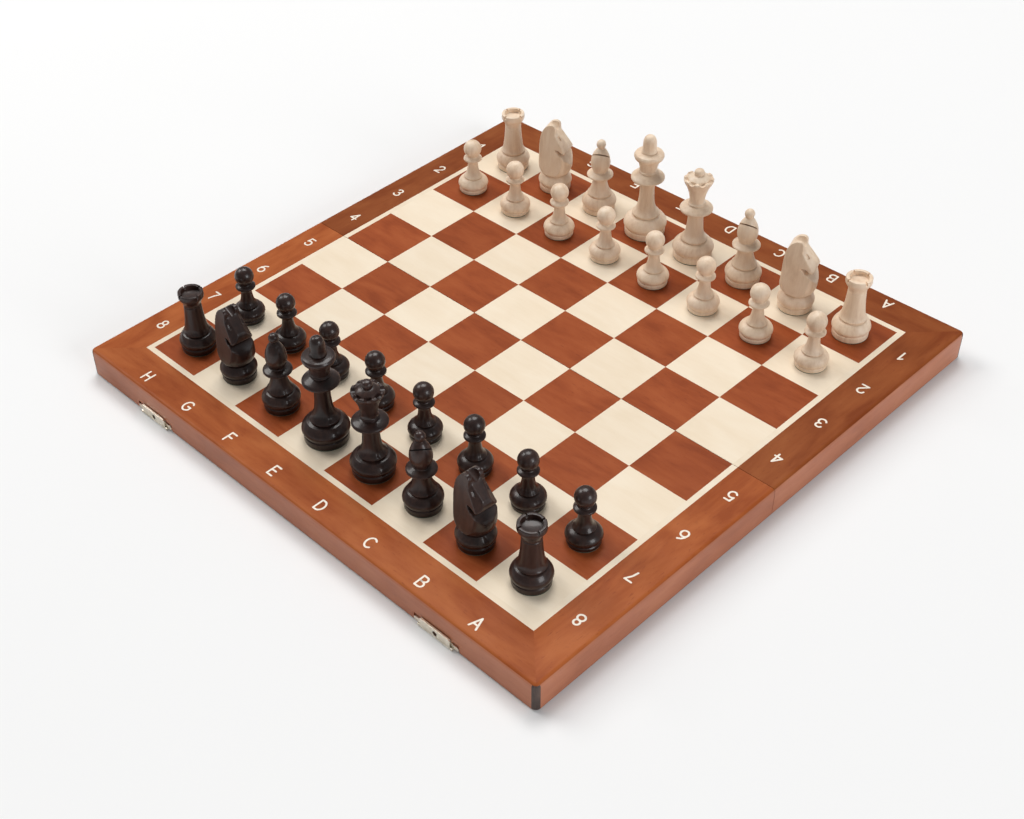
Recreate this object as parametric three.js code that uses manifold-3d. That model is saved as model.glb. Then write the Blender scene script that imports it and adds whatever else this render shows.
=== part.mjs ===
// A folding wooden chess case, opened flat as a board, with its thirty-two turned men set up.
// Millimetres, +Z up. The origin is on the table under the middle of the board.
// Black's end (rank 8) is towards -Y, White's end (rank 1) towards +Y, the a-file towards +X.

import * as THREE from "three";
import Module from "manifold-3d";
import { mergeVertices } from "three/addons/utils/BufferGeometryUtils.js";

const wasm = await Module();
wasm.setup();

// Driving dimensions of the case
const square = 50; // side of one square
const boardHalf = 236; // middle of the board to the outside of its border
const boardTop = 24.75; // playing surface above the table
const cornerRadius = 5; // upright outer corners
const panelThickness = 4.5;
const wallThickness = 10;
const seamGap = 0.2; // each half stops this short of the fold line
const gap = 0.3; // clearance between neighbouring pieces
const liningThickness = 0.6;
const dividerThickness = 4;

// Fold hinges: the barrel stands a little below the rims, and the case rests on it
const barrelRadius = 1.3;
const foldAxisHeight = barrelRadius;
const rimHeight = foldAxisHeight + 0.15;
const hingeCentre = 118; // from the middle of the board, towards each side
const hingeLength = 30;
const hingeWidth = 9;
const leafThickness = 1;
const knuckleLength = 9.4; // the middle knuckle; the outer two share the rest
const pinRadius = 0.6;
const pinBore = 0.8;
const metalSides = 12;

// Clasps on the end walls
const claspCentres = { h: -155, a: 149 }; // along X, one near each side of the case
const claspLength = 41;
const claspMiddle = 28; // the wide middle of the plate, and the flap
const plateThickness = 1;
const plateProud = 0.4; // the plate's face stands this far out of the wall
const plateTop = 7.2;
const earTop = 5.4;
const mortiseDepth = 0.9;
const flapTop = 9.4;
const flapThickness = 1;
const flapClearance = 0.2; // flap to plate
const lipHeight = 0.8;
const lipProud = 0.4;
const studHeight = 4.3; // centre of the stud, and of the hole in the flap
const studRadius = 1.3;
const holeRadius = 1.9;
const lugRadius = 1.1;
const lugLength = 2;
const lugBore = 0.75;
const trunnionRadius = 0.5;
const flapKnuckleRadius = 0.95;

// The men
const turnedSides = 12;
const ballSteps = 3;
const spigotRadius = 1.6;
const spigotLength = 5;
const knightHeadings = { white: 18, black: -5 }; // degrees from +X towards +Y

const panelUnderside = boardTop - panelThickness;
const wallTop = panelUnderside - gap;
const liningTop = panelUnderside - gap;
const liningUnderside = liningTop - liningThickness;
const flapAxisOut = plateProud + flapClearance + flapThickness / 2; // beyond the wall's face

const walnutRed = 0x8a4a2e;
const wallBrown = 0xa9745f;
const boxwood = 0xdcc29c;
const ebonised = 0x33241f;
const nickel = 0xd9d4c8;
const baize = 0x3c4a34;

function material(color, roughness, metalness = 0) {
  return new THREE.MeshStandardMaterial({ color, roughness, metalness });
}

const finishes = {
  panel: material(walnutRed, 0.35),
  wall: material(wallBrown, 0.4),
  lining: material(baize, 0.95),
  metal: material(nickel, 0.3, 1),
  white: material(boxwood, 0.5),
  black: material(ebonised, 0.35),
};

// Joining and cutting

function toSolid(geometry) {
  const bare = geometry.clone();
  bare.deleteAttribute("normal");
  bare.deleteAttribute("uv");
  const merged = mergeVertices(bare, 1e-4);
  const corners = merged.index.array;
  const kept = [];
  for (let i = 0; i < corners.length; i += 3) {
    const [a, b, c] = [corners[i], corners[i + 1], corners[i + 2]];
    if (a !== b && b !== c && c !== a) kept.push(a, b, c);
  }
  return new wasm.Manifold(new wasm.Mesh({
    numProp: 3,
    vertProperties: merged.attributes.position.array,
    triVerts: new Uint32Array(kept),
  }));
}

function toGeometry(solid) {
  const mesh = solid.getMesh();
  const geometry = new THREE.BufferGeometry();
  const positions = new Float32Array(mesh.vertProperties);
  geometry.setAttribute("position", new THREE.BufferAttribute(positions, 3));
  geometry.setIndex(new THREE.BufferAttribute(new Uint32Array(mesh.triVerts), 1));
  return geometry;
}

function join(geometries) {
  return toGeometry(geometries.map(toSolid).reduce((whole, piece) => whole.add(piece)));
}

function cut(geometry, tools) {
  return toGeometry(tools.map(toSolid).reduce((whole, tool) => whole.subtract(tool), toSolid(geometry)));
}

// Plain shapes

function block([x0, x1], [y0, y1], [z0, z1]) {
  const geometry = new THREE.BoxGeometry(x1 - x0, y1 - y0, z1 - z0);
  return geometry.translate((x0 + x1) / 2, (y0 + y1) / 2, (z0 + z1) / 2);
}

function rodAlongX(radius, [x0, x1], y, z, sides = metalSides) {
  const geometry = new THREE.CylinderGeometry(radius, radius, x1 - x0, sides);
  return geometry.rotateZ(Math.PI / 2).translate((x0 + x1) / 2, y, z);
}

function rodAlongY(radius, x, [y0, y1], z, sides = metalSides) {
  const geometry = new THREE.CylinderGeometry(radius, radius, y1 - y0, sides);
  return geometry.translate(x, (y0 + y1) / 2, z);
}

// A flat outline of [x, z] corners, given thickness from y0 to y1
function plate(outline, [y0, y1]) {
  const shape = new THREE.Shape(outline.map(([x, z]) => new THREE.Vector2(x, z)));
  const geometry = new THREE.ExtrudeGeometry(shape, { depth: y1 - y0, bevelEnabled: false });
  return geometry.rotateX(Math.PI / 2).translate(0, y1, 0);
}

// A turned piece: rings of [radius, height] from its underside to its top
function turned(rings) {
  const profile = rings.map(([radius, height]) => new THREE.Vector2(radius, height));
  profile.unshift(new THREE.Vector2(0, rings[0][1]));
  profile.push(new THREE.Vector2(0, rings.at(-1)[1]));
  return new THREE.LatheGeometry(profile, turnedSides).rotateX(Math.PI / 2);
}

// Rings of a ball from its waist-side neck up to near its top, which turned() closes
function ball(radius, centre, neckRadius) {
  const start = -Math.acos(neckRadius / radius);
  const end = THREE.MathUtils.degToRad(72);
  return Array.from({ length: ballSteps + 1 }, (_, step) => {
    const angle = start + ((end - start) * step) / ballSteps;
    return [radius * Math.cos(angle), centre + radius * Math.sin(angle)];
  });
}

// Outer corners of one half are rounded; x runs across the board and y away from the fold
function roundedOutline(nearY) {
  const shape = new THREE.Shape();
  const corner = boardHalf - cornerRadius;
  shape.moveTo(-boardHalf, nearY);
  shape.lineTo(boardHalf, nearY);
  shape.lineTo(boardHalf, corner);
  shape.absarc(corner, corner, cornerRadius, 0, Math.PI / 2);
  shape.lineTo(-corner, boardHalf);
  shape.absarc(-corner, corner, cornerRadius, Math.PI / 2, Math.PI);
  return shape;
}

function roundedSlab(nearY, [z0, z1]) {
  const settings = { depth: z1 - z0, bevelEnabled: false, curveSegments: 4 };
  return new THREE.ExtrudeGeometry(roundedOutline(nearY), settings).translate(0, 0, z0);
}

// Walls and panel of one half, built towards +Y

function claspMortise(x) {
  const reach = claspLength / 2 + gap;
  const depth = [boardHalf - mortiseDepth, boardHalf + 1];
  return block([x - reach, x + reach], depth, [0, plateTop + gap]);
}

function hingeMortise(x) {
  const reach = hingeLength / 2 + 1.3;
  return block([x - reach, x + reach], [0, hingeWidth + gap], [0, 2 * barrelRadius + gap]);
}

function endWall(claspXs) {
  const plain = roundedSlab(boardHalf - wallThickness, [rimHeight, wallTop]);
  return cut(plain, claspXs.map(claspMortise));
}

function foldWall() {
  const depth = [seamGap, seamGap + wallThickness];
  const plain = block([-boardHalf, boardHalf], depth, [rimHeight, wallTop]);
  return cut(plain, [-hingeCentre, hingeCentre].map(hingeMortise));
}

const innerNear = seamGap + wallThickness + gap;
const innerFar = boardHalf - wallThickness - gap;

function sideWall(direction) {
  const faces = [direction * (boardHalf - wallThickness), direction * boardHalf];
  return block(faces.sort((a, b) => a - b), [innerNear, innerFar], [rimHeight, wallTop]);
}

function lining() {
  const reach = boardHalf - wallThickness - gap;
  return block([-reach, reach], [innerNear, innerFar], [liningUnderside, liningTop]);
}

function divider() {
  const half = dividerThickness / 2;
  return block([-half, half], [innerNear, innerFar], [rimHeight + 1, liningUnderside - gap]);
}

// Fold hinges, lying along X over the fold line. direction is the side of the leaf: -1 or 1

function hingeLeaf(x, direction, knuckles) {
  const along = [x - hingeLength / 2, x + hingeLength / 2];
  const across = (near, far) => [direction * near, direction * far].sort((a, b) => a - b);
  const height = [rimHeight + 0.05, rimHeight + 0.05 + leafThickness];
  const pieces = [block(along, across(barrelRadius + gap, hingeWidth), height)];
  for (const [from, to] of knuckles) {
    pieces.push(rodAlongX(barrelRadius, [x + from, x + to], 0, foldAxisHeight));
    pieces.push(block([x + from, x + to], across(0.2, barrelRadius + 2 * gap), height));
  }
  const bore = rodAlongX(pinBore, [along[0] - 1, along[1] + 1], 0, foldAxisHeight);
  return cut(join(pieces), [bore]);
}

function hingePin(x) {
  const reach = hingeLength / 2 + 0.5;
  return rodAlongX(pinRadius, [x - reach, x + reach], 0, foldAxisHeight);
}

// Clasps, built on the outer face of an end wall at x

const platePlanes = [boardHalf + plateProud - plateThickness, boardHalf + plateProud];

function plateOutline(x, earBottom, middleBottom) {
  const ear = claspLength / 2;
  const middle = claspMiddle / 2;
  const rightHalf = [
    [middle, middleBottom], [middle, earBottom], [ear, earBottom], [ear, earTop - 1],
    [ear - 2, earTop], [middle, earTop], [middle, plateTop],
  ];
  const leftHalf = rightHalf.map(([px, pz]) => [-px, pz]).reverse();
  return [...rightHalf, ...leftHalf].map(([px, pz]) => [x + px, pz]);
}

function claspBase(x) {
  const pieces = [plate(plateOutline(x, rimHeight + gap, 2.3), platePlanes)];
  const axisY = boardHalf + flapAxisOut;
  const bores = [];
  for (const direction of [-1, 1]) {
    const near = x + direction * (claspMiddle / 2);
    const far = near + direction * lugLength;
    const along = [near, far].sort((a, b) => a - b);
    pieces.push(rodAlongX(lugRadius, along, axisY, foldAxisHeight));
    pieces.push(block(along, [platePlanes[0], axisY], [foldAxisHeight, 2.3]));
    bores.push(rodAlongX(lugBore, [along[0] - 1, along[1] + 1], axisY, foldAxisHeight));
  }
  return cut(join(pieces), bores);
}

function claspFlap(x) {
  const reach = claspMiddle / 2 - gap;
  const axisY = boardHalf + flapAxisOut;
  const outer = axisY + flapThickness / 2;
  const whole = join([
    block([x - reach, x + reach], [outer - flapThickness, outer], [foldAxisHeight, flapTop]),
    block([x - reach, x + reach], [outer - 0.2, outer + lipProud], [flapTop - lipHeight, flapTop]),
    rodAlongX(flapKnuckleRadius, [x - reach, x + reach], axisY, foldAxisHeight),
    rodAlongX(trunnionRadius, [x - reach - lugLength, x + reach + lugLength], axisY, foldAxisHeight),
  ]);
  return cut(whole, [rodAlongY(holeRadius, x, [boardHalf, outer + 1], studHeight)]);
}

function claspStrike(x) {
  const bottom = 2 * foldAxisHeight;
  const stud = rodAlongY(studRadius, x, [platePlanes[0] + 0.2, boardHalf + flapAxisOut + lugRadius], studHeight);
  return join([plate(plateOutline(x, bottom, bottom), platePlanes), stud]);
}

// Turned men, each standing on z = 0

function pawn() {
  return turned([
    [12.6, 0], [12.8, 6.5], [8.6, 11.8], [4.6, 20], [4.4, 28],
    [7.6, 30], [7.6, 32], ...ball(7.5, 40, 4.6),
  ]);
}

function rook() {
  return turned([
    [15, 0], [15, 7], [11, 15], [9.8, 17.5], [7, 42.5],
    [9.5, 47], [9.5, 53], [7, 53], [7, 49],
  ]);
}

function bishop() {
  return turned([
    [14.5, 0], [14.5, 7], [10.8, 15.5], [5.6, 30.5], [10.6, 33.5], [10.6, 35.2], [5.6, 37],
    [8.2, 46], [6, 54], [2.2, 58.5], ...ball(3.8, 63.2, 2.4),
  ]);
}

function queen() {
  return turned([
    [16.5, 0], [16.5, 7], [10.5, 16.5], [6.6, 25], [6.2, 41], [12.8, 44.5], [12.8, 46.5],
    [6.6, 49.5], [7.4, 58], [11.6, 68], [11.6, 71], [8.5, 71], [3, 74], ...ball(3.4, 77.1, 2.4),
  ]);
}

function king() {
  return turned([
    [17.2, 0], [17.2, 7.5], [11.5, 18.5], [7, 28], [6.6, 48], [13.6, 52], [13.6, 54],
    [7.4, 56.5], [9.4, 70], [12, 71.5], [12, 74.5], [spigotRadius + gap, 75.7],
    [spigotRadius + gap, 75.7 - spigotLength - gap],
  ]);
}

function kingFinial() {
  const seat = 75.7 + gap;
  return turned([
    [spigotRadius, seat - spigotLength], [spigotRadius, seat], [6, seat], [4.6, seat + 3],
    [4.9, 85.5], [3.8, 89], [1.8, 91],
  ]);
}

// Side view of the knight's neck and head, facing +X: back of the neck, ear, face, jaw, chest
const knightOutline = [
  [-9.5, 18], [-13.5, 25], [-12, 40], [-8, 54], [-2, 62.5], [2, 58],
  [12.5, 45], [14.5, 40], [10, 37], [4, 40.5], [5, 35], [12.5, 28], [12.5, 23], [9, 18],
];

function knight(heading) {
  const headWidth = 19;
  const base = turned([[14.8, 0], [14.8, 7], [9.5, 14.5], [9, 19]]);
  const profile = plate(knightOutline, [-headWidth / 2, headWidth / 2]);
  const blank = turned([[9, 17], [14, 24], [14, 34], [15, 40], [11, 63]]);
  const head = toGeometry(toSolid(profile).intersect(toSolid(blank)));
  return join([base, head]).rotateZ(THREE.MathUtils.degToRad(heading));
}

// Assembly

const chessSet = new THREE.Group();

function add(parent, name, geometry, finish) {
  const mesh = new THREE.Mesh(geometry, finish);
  mesh.name = name;
  parent.add(mesh);
  return mesh;
}

// The black half is the white half turned half a turn about the middle of the board
const halves = [
  { name: "white", turn: 0, plus: "a", minus: "h" },
  { name: "black", turn: Math.PI, plus: "h", minus: "a" },
];

for (const half of halves) {
  const group = new THREE.Group();
  group.rotation.z = half.turn;
  chessSet.add(group);
  const claspXs = Object.entries(claspCentres).map(([side, x]) => [side, x * Math.cos(half.turn)]);
  add(group, `${half.name}_playing_panel`, roundedSlab(seamGap, [panelUnderside, boardTop]), finishes.panel);
  add(group, `${half.name}_end_wall`, endWall(claspXs.map(([, x]) => x)), finishes.wall);
  add(group, `${half.name}_fold_wall`, foldWall(), finishes.wall);
  add(group, `${half.name}_${half.plus}_side_wall`, sideWall(1), finishes.wall);
  add(group, `${half.name}_${half.minus}_side_wall`, sideWall(-1), finishes.wall);
  add(group, `${half.name}_lining`, lining(), finishes.lining);
  add(group, `${half.name}_divider`, divider(), finishes.wall);
  for (const [side, x] of claspXs) {
    if (half.name === "white") {
      add(group, `${side}_clasp_strike`, claspStrike(x), finishes.metal);
    } else {
      add(group, `${side}_clasp_base`, claspBase(x), finishes.metal);
      add(group, `${side}_clasp_flap`, claspFlap(x), finishes.metal);
    }
  }
}

const knuckleEdge = knuckleLength / 2;
const outerKnuckles = [-1, 1].map((side) => {
  const edges = [side * (knuckleEdge + gap), (side * hingeLength) / 2];
  return edges.sort((a, b) => a - b);
});

for (const [side, x] of [["h", -hingeCentre], ["a", hingeCentre]]) {
  add(chessSet, `${side}_hinge_black_leaf`, hingeLeaf(x, -1, outerKnuckles), finishes.metal);
  add(chessSet, `${side}_hinge_white_leaf`, hingeLeaf(x, 1, [[-knuckleEdge, knuckleEdge]]), finishes.metal);
  add(chessSet, `${side}_hinge_pin`, hingePin(x), finishes.metal);
}

// Files run a to h from +X to -X, ranks 1 to 8 from +Y to -Y
function squareCentre(file, rank) {
  return [(3.5 - "abcdefgh".indexOf(file)) * square, (4.5 - rank) * square];
}

function stand(name, geometry, side, file, rank) {
  const [x, y] = squareCentre(file, rank);
  add(chessSet, name, geometry, finishes[side]).position.set(x, y, boardTop + gap);
}

for (const [side, backRank, pawnRank] of [["white", 1, 2], ["black", 8, 7]]) {
  stand(`${side}_king`, king(), side, "e", backRank);
  stand(`${side}_king_finial`, kingFinial(), side, "e", backRank);
  stand(`${side}_queen`, queen(), side, "d", backRank);
  for (const file of "cf") stand(`${side}_bishop_${file}`, bishop(), side, file, backRank);
  for (const file of "bg") stand(`${side}_knight_${file}`, knight(knightHeadings[side]), side, file, backRank);
  for (const file of "ah") stand(`${side}_rook_${file}`, rook(), side, file, backRank);
  for (const file of "abcdefgh") stand(`${side}_pawn_${file}`, pawn(), side, file, pawnRank);
}

export default chessSet;
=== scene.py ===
# A folding wooden chess case, opened flat as a board, with its thirty-two turned men set up.
# The middle of the board is the origin, White's end is towards +Y and the a-file towards +X.
# Sizes in the dictionaries are millimetres; every mesh is scaled to metres as it is made.

import math
import random

import bmesh
import bpy
from mathutils import Matrix, Vector


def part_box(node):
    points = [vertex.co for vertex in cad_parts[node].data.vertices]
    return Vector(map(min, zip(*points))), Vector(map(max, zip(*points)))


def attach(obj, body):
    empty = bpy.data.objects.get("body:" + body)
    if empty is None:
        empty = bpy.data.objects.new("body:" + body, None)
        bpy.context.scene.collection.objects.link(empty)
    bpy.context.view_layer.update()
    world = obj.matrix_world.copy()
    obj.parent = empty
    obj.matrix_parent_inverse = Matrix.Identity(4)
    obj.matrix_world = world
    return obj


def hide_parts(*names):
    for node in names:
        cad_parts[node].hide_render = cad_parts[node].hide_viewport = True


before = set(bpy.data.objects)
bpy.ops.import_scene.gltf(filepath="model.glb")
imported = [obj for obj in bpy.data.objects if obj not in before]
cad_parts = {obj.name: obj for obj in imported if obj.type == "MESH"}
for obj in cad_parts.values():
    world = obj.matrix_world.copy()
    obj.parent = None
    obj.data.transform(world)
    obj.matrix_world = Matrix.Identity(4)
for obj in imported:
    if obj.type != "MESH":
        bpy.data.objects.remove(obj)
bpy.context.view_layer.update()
chance = random.Random(64)
mm = 0.001
print("frame loaded:", len(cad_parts), "nodes")


def boxOf(node):
    low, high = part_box(node)
    return low / mm, high / mm


# Sizes that come from the frame
panelLow, panelHigh = boxOf("white_playing_panel")
endLow = boxOf("white_end_wall")[0]
boardHalf = panelHigh.x
boardTop = panelHigh.z
panelUnderside = panelLow.z
seam = panelLow.y
rim = endLow.z
wallInside = endLow.y
wallThickness = boardHalf - wallInside


# Shaping
def makeMesh(name, corners, faces):
    mesh = bpy.data.meshes.new(name)
    mesh.from_pydata([Vector(corner) * mm for corner in corners], [], faces)
    return mesh


# Smooth faces, with edges sharper than the angle kept crisp
def crisp(mesh, degrees=32):
    work = bmesh.new()
    work.from_mesh(mesh)
    bmesh.ops.recalc_face_normals(work, faces=work.faces)
    for face in work.faces:
        face.smooth = True
    for edge in work.edges:
        edge.smooth = len(edge.link_faces) == 2 and edge.calc_face_angle(0) < math.radians(degrees)
    work.to_mesh(mesh)
    work.free()
    return mesh


def loose(name, mesh, place=(0, 0, 0), spin=0):
    piece = bpy.data.objects.new(name, mesh)
    piece.location = Vector(place) * mm
    piece.rotation_euler.z = spin
    bpy.context.scene.collection.objects.link(piece)
    return piece


# The mesh of a loose piece with its modifiers applied; the piece itself goes
def settle(piece):
    bpy.context.view_layer.update()
    graph = bpy.context.evaluated_depsgraph_get()
    shaped = bpy.data.meshes.new_from_object(piece.evaluated_get(graph))
    shaped.materials.clear()
    bpy.data.objects.remove(piece)
    return shaped


def faceOut(mesh):
    work = bmesh.new()
    work.from_mesh(mesh)
    bmesh.ops.recalc_face_normals(work, faces=work.faces)
    work.to_mesh(mesh)
    work.free()


# Cuts the tool meshes from a mesh, or joins or intersects them with it
def carve(mesh, tools, how="DIFFERENCE", solver="EXACT"):
    faceOut(mesh)
    piece = loose("work", mesh)
    others = []
    for tool in tools:
        faceOut(tool)
        others.append(loose("tool", tool))
        change = piece.modifiers.new("carve", "BOOLEAN")
        change.operation = how
        change.solver = solver
        change.object = others[-1]
    shaped = settle(piece)
    for other in others:
        bpy.data.objects.remove(other)
    return shaped


# A flat outline of (x, y) corners given thickness along z
def slab(name, outline, low, high):
    count = len(outline)
    corners = [(x, y, z) for z in (low, high) for x, y in outline]
    faces = [tuple(range(count))[::-1], tuple(range(count, 2 * count))]
    for i in range(count):
        j = (i + 1) % count
        faces.append((i, j, count + j, count + i))
    return makeMesh(name, corners, faces)


# The same with the outline in (x, z) and the thickness along y
def uprightSlab(name, outline, near, far):
    mesh = slab(name, outline, near, far)
    mesh.transform(Matrix(((1, 0, 0, 0), (0, 0, 1, 0), (0, 1, 0, 0), (0, 0, 0, 1))))
    return mesh


# The same with the outline in (y, z) and the thickness along x
def longSlab(name, outline, near, far):
    mesh = slab(name, outline, near, far)
    mesh.transform(Matrix(((0, 0, 1, 0), (1, 0, 0, 0), (0, 1, 0, 0), (0, 0, 0, 1))))
    return mesh


def rectangle(x0, x1, y0, y1):
    return [(x0, y0), (x1, y0), (x1, y1), (x0, y1)]


def roundedRectangle(x0, x1, y0, y1, radius, steps=5):
    outline = []
    centres = [(x1 - radius, y1 - radius), (x0 + radius, y1 - radius),
               (x0 + radius, y0 + radius), (x1 - radius, y0 + radius)]
    for quarter, (x, y) in enumerate(centres):
        for step in range(steps + 1):
            angle = math.pi / 2 * (quarter + step / steps)
            outline.append((x + radius * math.cos(angle), y + radius * math.sin(angle)))
    return outline


def circle(x, y, radius, steps=32):
    turn = 2 * math.pi / steps
    return [(x + radius * math.cos(turn * i), y + radius * math.sin(turn * i)) for i in range(steps)]


# A flat list of points: (a, b) is a corner, (a, b, 1) lies on a flowing curve between corners
def flowing(points, steps=5):
    line = [tuple(points[0][:2])]
    start = 0
    for i in range(1, len(points)):
        if len(points[i]) == 3:
            continue
        run = [Vector(p[:2]) for p in points[start:i + 1]]
        padded = [2 * run[0] - run[1]] + run + [2 * run[-1] - run[-2]]
        for k in range(1, len(padded) - 2):
            a, b, c, d = padded[k - 1:k + 3]
            count = 1 if len(run) == 2 else steps
            for step in range(1, count + 1):
                t = step / count
                where = 0.5 * (2 * b + (c - a) * t + (2 * a - 5 * b + 4 * c - d) * t ** 2
                               + (3 * b - a - 3 * c + d) * t ** 3)
                line.append(tuple(where))
        start = i
    return line


# Takes the sharpness off the corners of a line by a small radius
def eased(line, radius=0.22):
    result = [line[0]]
    for before, here, after in zip(line, line[1:], line[2:]):
        a, b, c = Vector(before), Vector(here), Vector(after)
        back, forward = a - b, c - b
        if back.length < 1e-6 or forward.length < 1e-6:
            continue
        if math.degrees(back.angle(-forward)) < 24:
            result.append(here)
            continue
        reach = min(radius, back.length * 0.45, forward.length * 0.45)
        first = b + back.normalized() * reach
        last = b + forward.normalized() * reach
        result += [tuple(first), tuple((first + last + 2 * b) / 4), tuple(last)]
    return result + [line[-1]]


# Turns a profile of (radius, height) points on the lathe, closed on its axis at both ends
def turned(name, profile, steps=72):
    line = eased(flowing([(0, profile[0][1])] + list(profile)))
    if line[-1][0] > 1e-4:
        line.append((0, line[-1][1]))
    corners, rings, faces = [], [], []
    for radius, height in line:
        if radius < 1e-4:
            rings.append([len(corners)] * steps)
            corners.append((0, 0, height))
            continue
        rings.append(list(range(len(corners), len(corners) + steps)))
        corners += [(x, y, height) for x, y in circle(0, 0, radius, steps)]
    for lower, upper in zip(rings, rings[1:]):
        for i in range(steps):
            j = (i + 1) % steps
            face = [lower[i], lower[j], upper[j], upper[i]]
            kept = [c for n, c in enumerate(face) if c not in face[:n]]
            if len(kept) > 2:
                faces.append(tuple(kept))
    return makeMesh(name, corners, faces)


# Finishes
def put(tree, kind, inputs=(), **settings):
    made = tree.nodes.new("ShaderNode" + kind)
    for name, value in settings.items():
        setattr(made, name, value)
    for socket, value in dict(inputs).items():
        if isinstance(value, bpy.types.NodeSocket):
            tree.links.new(value, made.inputs[socket])
        else:
            made.inputs[socket].default_value = value
    return made


def rgb(colour):
    return (*colour, 1)


def newFinish(name, **values):
    finish = bpy.data.materials.new(name)
    finish.use_nodes = True
    tree = finish.node_tree
    shader = tree.nodes["Principled BSDF"]
    for socket, value in values.items():
        shader.inputs[socket.replace("_", " ")].default_value = value
    return finish, tree, shader


def grainAt(tree, place, scale, detail=4, rough=0.55, distort=0):
    return put(tree, "TexNoise", {"Vector": place, "Scale": scale, "Detail": detail,
                                  "Roughness": rough, "Distortion": distort}).outputs["Fac"]


def between(tree, value, low, high, toLow=0, toHigh=1):
    return put(tree, "MapRange", {"Value": value, "From Min": low, "From Max": high,
                                  "To Min": toLow, "To Max": toHigh}).outputs["Result"]


def blend(tree, amount, first, second, how="MIX"):
    made = put(tree, "Mix", data_type="RGBA", blend_type=how)
    for socket, value in ((0, amount), (6, first), (7, second)):
        if isinstance(value, bpy.types.NodeSocket):
            tree.links.new(value, made.inputs[socket])
        else:
            made.inputs[socket].default_value = value
    return made.outputs[2]


def stretched(tree, place, scale):
    return put(tree, "Mapping", {"Vector": place, "Scale": scale}).outputs["Vector"]


def total(tree, first, second, how="ADD"):
    return put(tree, "Math", {0: first, 1: second}, operation=how).outputs["Value"]


# Wood: broad figure, streaks along the grain, fine pores, and a little unevenness in the finish
def woodFinish(name, look):
    finish, tree, shader = newFinish(
        name, Coat_Weight=look["coat"], Coat_Roughness=look["coatRoughness"],
        Specular_IOR_Level=look["specular"])
    place = put(tree, "TexCoord").outputs["Object"]
    if "men" in look:
        tone = put(tree, "ObjectInfo").outputs["Random"]
        shift = put(tree, "CombineXYZ", {"X": tone, "Y": tone, "Z": tone}).outputs["Vector"]
    else:
        shift = put(tree, "Attribute", attribute_name="cut").outputs["Vector"]
        tone = put(tree, "Attribute", attribute_name="tone").outputs["Fac"]
    place = put(tree, "VectorMath", {0: place, 1: shift}, operation="ADD").outputs["Vector"]
    squash = {"x": (0.16, 1, 1), "y": (1, 0.16, 1), "z": (1, 1, 0.12)}[look["grain"]]
    along = stretched(tree, place, squash)
    broad = stretched(tree, place, [max(side, 0.4) for side in squash])
    figure = grainAt(tree, broad, look["figureScale"], 3, 0.5, 0.6)
    streaks = grainAt(tree, along, look["streakScale"], 5, 0.62, 0.35)
    pores = grainAt(tree, along, look["poreScale"], 2, 0.5)
    mixed = total(tree, total(tree, figure, look["figure"], "MULTIPLY"),
                  total(tree, streaks, 1 - look["figure"], "MULTIPLY"))
    tint = put(tree, "ValToRGB", {"Fac": between(tree, mixed, 0.36, 0.64)})
    stops = tint.color_ramp.elements
    stops[0].color = rgb(look["dark"])
    stops[1].color = rgb(look["light"])
    stops.new(0.5).color = rgb(look["middle"])
    shade = between(tree, tone, 0, 1, 1 - look["spread"], 1 + look["spread"])
    grey = put(tree, "CombineXYZ", {"X": shade, "Y": shade, "Z": shade}).outputs["Vector"]
    colour = blend(tree, 1.0, tint.outputs["Color"], grey, "MULTIPLY")
    poreMark = between(tree, pores, 0.36, 0.26)
    colour = blend(tree, total(tree, poreMark, look["pores"], "MULTIPLY"), colour, rgb(look["pore"]))
    tree.links.new(colour, shader.inputs["Base Color"])
    uneven = grainAt(tree, place, 55, 3)
    sheen = between(tree, uneven, 0.3, 0.7, look["roughness"] - 0.05, look["roughness"] + 0.07)
    tree.links.new(sheen, shader.inputs["Roughness"])
    height = total(tree, streaks, total(tree, poreMark, -look["pores"], "MULTIPLY"))
    bump = put(tree, "Bump", {"Height": height, "Strength": look["relief"], "Distance": 0.0002})
    tree.links.new(bump.outputs["Normal"], shader.inputs["Normal"])
    return finish


veneerPolish = {"roughness": 0.46, "coat": 0.04, "coatRoughness": 0.3, "specular": 0.07}
mahogany = {
    **veneerPolish,
    "dark": (0.25, 0.052, 0.015), "middle": (0.305, 0.068, 0.02), "light": (0.345, 0.084, 0.026),
    "pore": (0.17, 0.034, 0.012), "pores": 0.5, "figure": 0.7, "figureScale": 60,
    "streakScale": 260, "poreScale": 1100, "spread": 0.07, "grain": "x", "relief": 0.14,
}
maple = {
    **veneerPolish,
    "dark": (0.80, 0.67, 0.505), "middle": (0.83, 0.705, 0.545), "light": (0.85, 0.735, 0.58),
    "pore": (0.7, 0.54, 0.37), "pores": 0.14, "figure": 0.7, "figureScale": 40,
    "streakScale": 220, "poreScale": 1100, "spread": 0.02, "grain": "x", "relief": 0.08,
}
borderWood = {
    **veneerPolish,
    "dark": (0.30, 0.066, 0.016), "middle": (0.38, 0.097, 0.026), "light": (0.44, 0.125, 0.036),
    "pore": (0.18, 0.038, 0.014), "pores": 0.5, "figure": 0.7, "figureScale": 45,
    "streakScale": 200, "poreScale": 1100, "spread": 0.07, "grain": "x", "relief": 0.14,
}
wallWood = {
    "dark": (0.37, 0.118, 0.054), "middle": (0.44, 0.148, 0.07), "light": (0.49, 0.178, 0.088),
    "pore": (0.24, 0.08, 0.045), "pores": 0.35, "figure": 0.6, "figureScale": 30,
    "streakScale": 200, "poreScale": 1200, "spread": 0.05, "grain": "x",
    "roughness": 0.46, "coat": 0.15, "coatRoughness": 0.3, "specular": 0.35, "relief": 0.16,
}
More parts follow.
